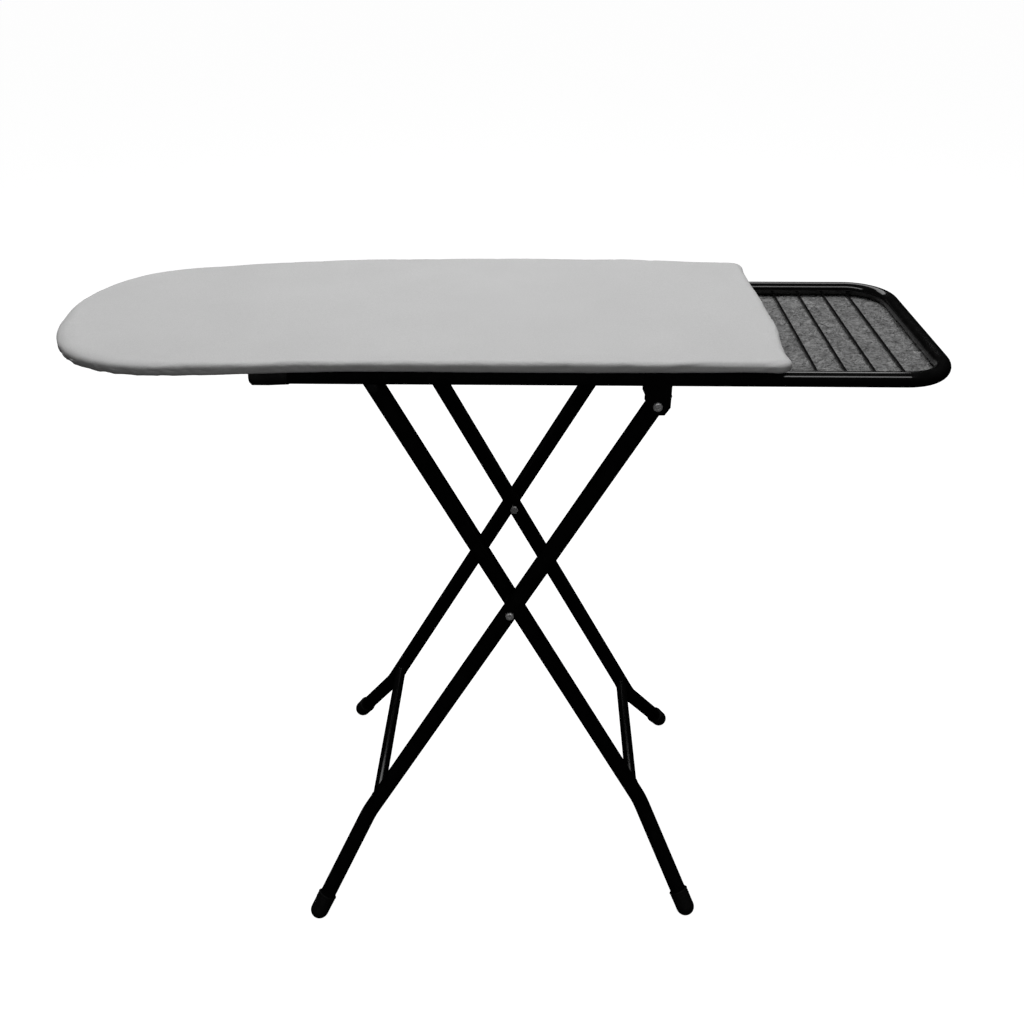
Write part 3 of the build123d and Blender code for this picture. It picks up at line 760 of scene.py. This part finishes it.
def bearer_beads(number):
    """Straight welds between a deck bearer and the top of each rail."""
    low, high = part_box("deck_bearer_" + str(number))
    z = RAIL_AXIS_Z + math.sqrt(RAIL_R ** 2 - BEARER_WELD_Y ** 2) + 0.35 * MM
    steps = 14
    for side, sign in SIDES:
        for place, shift in (("in", -BEARER_WELD_Y), ("out", BEARER_WELD_Y)):
            y = sign * (RAIL_AXIS_Y + shift)
            points = [(low.x + (high.x - low.x) * k / steps, y, z) for k in range(steps + 1)]
            name = "weld_bearer_" + str(number) + "_" + side + "_" + place
            bead(name, points, 0.95 * MM, "black_paint", "board")


def rod_beads(number):
    """Ring of weld round each end of a rest rod."""
    low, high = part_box("rest_rod_" + str(number))
    x, z = (low.x + high.x) / 2, (low.z + high.z) / 2
    angles = [TAU * k / 14 for k in range(14)]
    for side, y in (("near", low.y + 0.9 * MM), ("far", high.y - 0.9 * MM)):
        points = [(x + ROD_WELD_R * math.cos(a), y, z + ROD_WELD_R * math.sin(a)) for a in angles]
        name = "weld_rod_" + str(number) + "_" + side
        bead(name, points, 0.75 * MM, "black_paint", "board", closed=True)


def ribbed_grip(side):
    """Moulded grip with finger ribs, slightly waisted between its ends."""
    low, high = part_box("release_grip_" + side)
    x, z = (low.x + high.x) / 2, (low.z + high.z) / 2
    length, radius = high.y - low.y, (high.z - low.z) / 2
    face_r, shoulder_r = radius * 0.72, radius * 0.93
    profile = [(GRIP_BORE, 0.0), (face_r, 0.0), (shoulder_r, 1.0 * MM)]
    for k in range(61):
        t = k / 60
        rib = 0.5 - 0.5 * math.cos(TAU * t * GRIP_RIBS)
        waist = math.sin(math.pi * t)
        profile.append((radius * (1 - 0.06 * waist) - 0.7 * MM * rib,
                        (2.2 + t * (length / MM - 4.4)) * MM))
    profile += [(shoulder_r, length - 1.0 * MM), (face_r, length), (GRIP_BORE, length)]
    angles = [TAU * k / GRIP_SIDES for k in range(GRIP_SIDES)]
    vertices = [(x + r * math.cos(a), low.y + h, z + r * math.sin(a))
                for r, h in profile + profile[:1] for a in angles]
    faces = [tuple(reversed(face)) for face in ring_faces(len(profile) + 1, GRIP_SIDES)]
    grip = make_object("ribbed_grip_" + side, vertices, faces)
    merge_doubles(grip)
    dress(grip, "black_plastic", "latch")
    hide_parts("release_grip_" + side)


def bar_cap(side, sign):
    """Push-on plastic cap over the end of the legs' top bar."""
    low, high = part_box("top_bar")
    radius = (high.z - low.z) / 2
    cap = lathe("top_bar_cap_" + side, [(0, -3.4 * MM), (radius * 1.3, -3.4 * MM),
                                        (radius * 1.3, -1.6 * MM), (radius * 1.25, -0.8 * MM),
                                        (radius * 0.7, 0), (0, 0)])
    end = high.y if sign > 0 else low.y
    place = Vector(((low.x + high.x) / 2, end + sign * 2.0 * MM, (low.z + high.z) / 2))
    turn = Matrix.Rotation(-sign * math.pi / 2, 4, "X")
    cap.data.transform(Matrix.Translation(place) @ turn)
    dress(cap, "black_plastic", "inner_legs")


def cap_rim(node):
    """Centre, outward axis and radius of the open rim of a foot cap, read from its mesh."""
    co = np.array([v.co for v in nodes[node].data.vertices])
    axis = np.linalg.svd(co - co.mean(0))[2][0]
    axis = axis if axis[2] > 0 else -axis
    for _ in range(3):
        along = co @ axis
        rim = co[along > along.max() - 1.6 * MM]
        centre = rim.mean(0)
        plane = np.linalg.svd(rim - centre)[2][2]
        axis = plane if plane[2] > 0 else -plane
    return centre, axis, float(np.linalg.norm(rim - centre, axis=1).max())


def foot_lip(node, body):
    """Lip and two shallow rings round the mouth of a rubber foot."""
    centre, axis, radius = cap_rim(node)
    side = np.cross(axis, (0, 0, 1.0))
    side /= np.linalg.norm(side)
    other = np.cross(axis, side)
    steps = 48
    spokes = [side * math.cos(TAU * k / steps) + other * math.sin(TAU * k / steps)
              for k in range(steps)]
    for number, (down, out, thick) in enumerate(FOOT_RINGS, 1):
        points = [centre - axis * down * MM + spoke * (radius + out * MM) for spoke in spokes]
        name = "lip_" + node + "_" + str(number)
        ring = tube_along(name, points, [thick * MM] * steps, sides=8, closed=True)
        dress(ring, "black_rubber", body)


crossbar_beads("outer_crossbar", "outer", OUTER_LEAN, "outer_legs")
crossbar_beads("inner_crossbar", "inner", INNER_LEAN, "inner_legs")
for side, sign in SIDES:
    bracket_beads(side, sign)
    ribbed_grip(side)
    bar_cap(side, sign)
    foot_lip("outer_foot_" + side, "outer_legs")
    foot_lip("inner_foot_" + side, "inner_legs")
for number in range(1, 5):
    bearer_beads(number)
    rod_beads(number)


# ---- camera, floor and lights -------------------------------------------------------------------
CAMERA_PLACE = Vector((0.0531, -1.1795, 1.2670))
CAMERA_YAW, CAMERA_DIP, CAMERA_ROLL = (math.radians(a) for a in (-1.5, 31.21, -0.27))
CAMERA_LENS, CAMERA_SENSOR = 36.42, 36
FLOOR_HALF = 14.0


def add_camera():
    ahead = Vector((math.sin(CAMERA_YAW) * math.cos(CAMERA_DIP),
                    math.cos(CAMERA_YAW) * math.cos(CAMERA_DIP), -math.sin(CAMERA_DIP)))
    level = Vector((math.cos(CAMERA_YAW), -math.sin(CAMERA_YAW), 0))
    over = level.cross(ahead)
    right = level * math.cos(CAMERA_ROLL) + over * math.sin(CAMERA_ROLL)
    up = over * math.cos(CAMERA_ROLL) - level * math.sin(CAMERA_ROLL)
    turn = Matrix((right, up, -ahead)).transposed().to_4x4()
    data = bpy.data.cameras.new("camera")
    data.lens = CAMERA_LENS
    data.sensor_width = CAMERA_SENSOR
    data.clip_start, data.clip_end = 0.05, 100
    obj = bpy.data.objects.new("camera", data)
    obj.matrix_world = Matrix.Translation(CAMERA_PLACE) @ turn
    bpy.context.scene.collection.objects.link(obj)
    bpy.context.scene.camera = obj


def add_light(name, place, target, size, power, glossy, diffuse=True):
    data = bpy.data.lights.new(name, "AREA")
    data.shape = "RECTANGLE"
    data.size, data.size_y = size
    data.energy = power
    obj = bpy.data.objects.new(name, data)
    obj.location = place
    obj.rotation_euler = (Vector(target) - Vector(place)).to_track_quat("-Z", "Y").to_euler()
    obj.visible_glossy = glossy
    obj.visible_diffuse = diffuse
    obj.visible_camera = False
    bpy.context.scene.collection.objects.link(obj)


def add_floor():
    """Pale studio floor: it takes a faint soft shadow and isn't mirrored in the black paint."""
    turns = ((-1, -1), (1, -1), (1, 1), (-1, 1))
    corners = [(x * FLOOR_HALF, y * FLOOR_HALF, 0) for x, y in turns]
    floor = make_object("floor", corners, [(0, 1, 2, 3)], smooth=False)
    m = Material("studio_floor", grey(0.3), 0.9, specular=0.0)
    m.shader.inputs["Emission Color"].default_value = (1, 1, 1, 1)
    m.shader.inputs["Emission Strength"].default_value = 0.985
    m.roughness_from(m.noise(3, 2), 0.85, 0.95)
    floor.data.materials.append(m.material)
    floor.visible_glossy = False
    floor.visible_diffuse = False


def add_world():
    world = bpy.data.worlds.new("studio")
    world.use_nodes = True
    world.node_tree.nodes["Background"].inputs["Color"].default_value = (1, 1, 1, 1)
    world.node_tree.nodes["Background"].inputs["Strength"].default_value = 1.0
    world.cycles_visibility.diffuse = False
    world.cycles_visibility.glossy = False
    bpy.context.scene.world = world


def stage_lights():
    """Two lamps give the soft shading; the strips are there only to be mirrored in the paint."""
    board = (0, 0, COVER_HIGH.z)
    add_light("overhead", (0, 0.4, 2.9), board, (2.4, 2.0), 62, glossy=False)
    add_light("front_fill", (0, -2.6, 1.5), board, (2.4, 1.2), 11, glossy=False)
    add_light("front_strip", (0.05, -1.24, 2.49), board, (2.4, 0.55), 15, glossy=True,
              diffuse=False)
    add_light("back_strip", (0.05, 1.5, 2.45), board, (2.4, 0.95), 21, glossy=True, diffuse=False)


add_camera()
add_floor()
add_world()
stage_lights()
bpy.context.scene.view_settings.view_transform = "Standard"
